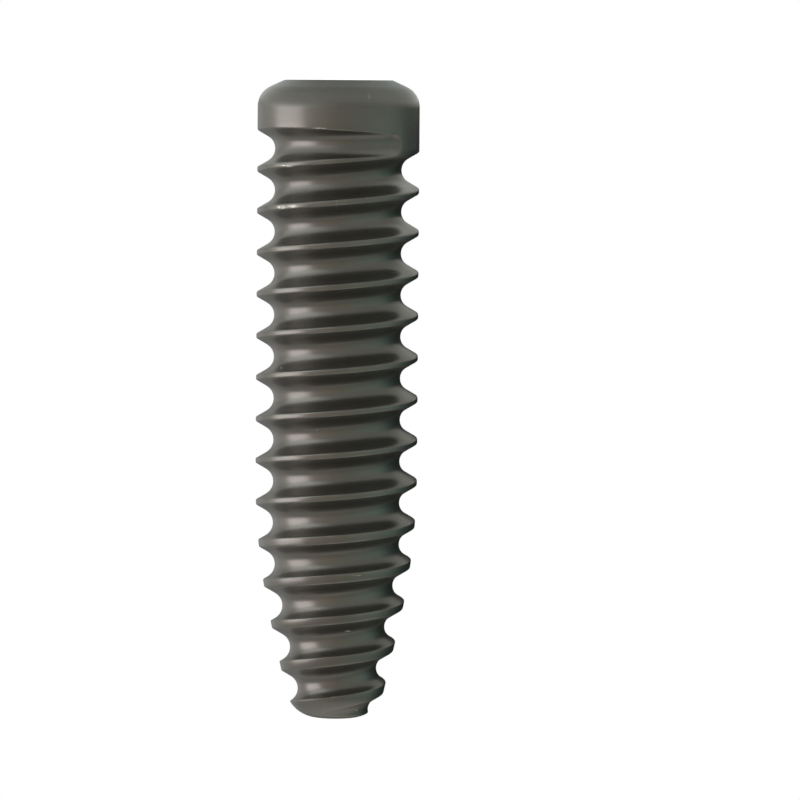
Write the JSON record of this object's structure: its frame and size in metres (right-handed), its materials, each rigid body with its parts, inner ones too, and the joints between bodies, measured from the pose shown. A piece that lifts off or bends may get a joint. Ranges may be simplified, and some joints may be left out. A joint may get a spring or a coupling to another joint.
{
  "type": "interference screw",
  "caption": "Cannulated titanium interference screw with a rounded right-hand thread, bevelled head and tapered nose, for pressing a tendon graft into a bone tunnel.",
  "frame": {"origin": "middle of the flat head face, which the screw stands on with its tip up", "axes": "+Z along the screw's axis from the head to the tip, +X towards the start of the thread's run-out"},
  "size_m": [0.007, 0.007, 0.0276],
  "materials": {
    "anodised_titanium": "satin dark grey anodised titanium, fine turning marks"
  },
  "bodies": {
    "root": {"interference_screw": "anodised_titanium"}
  },
  "joints": []
}
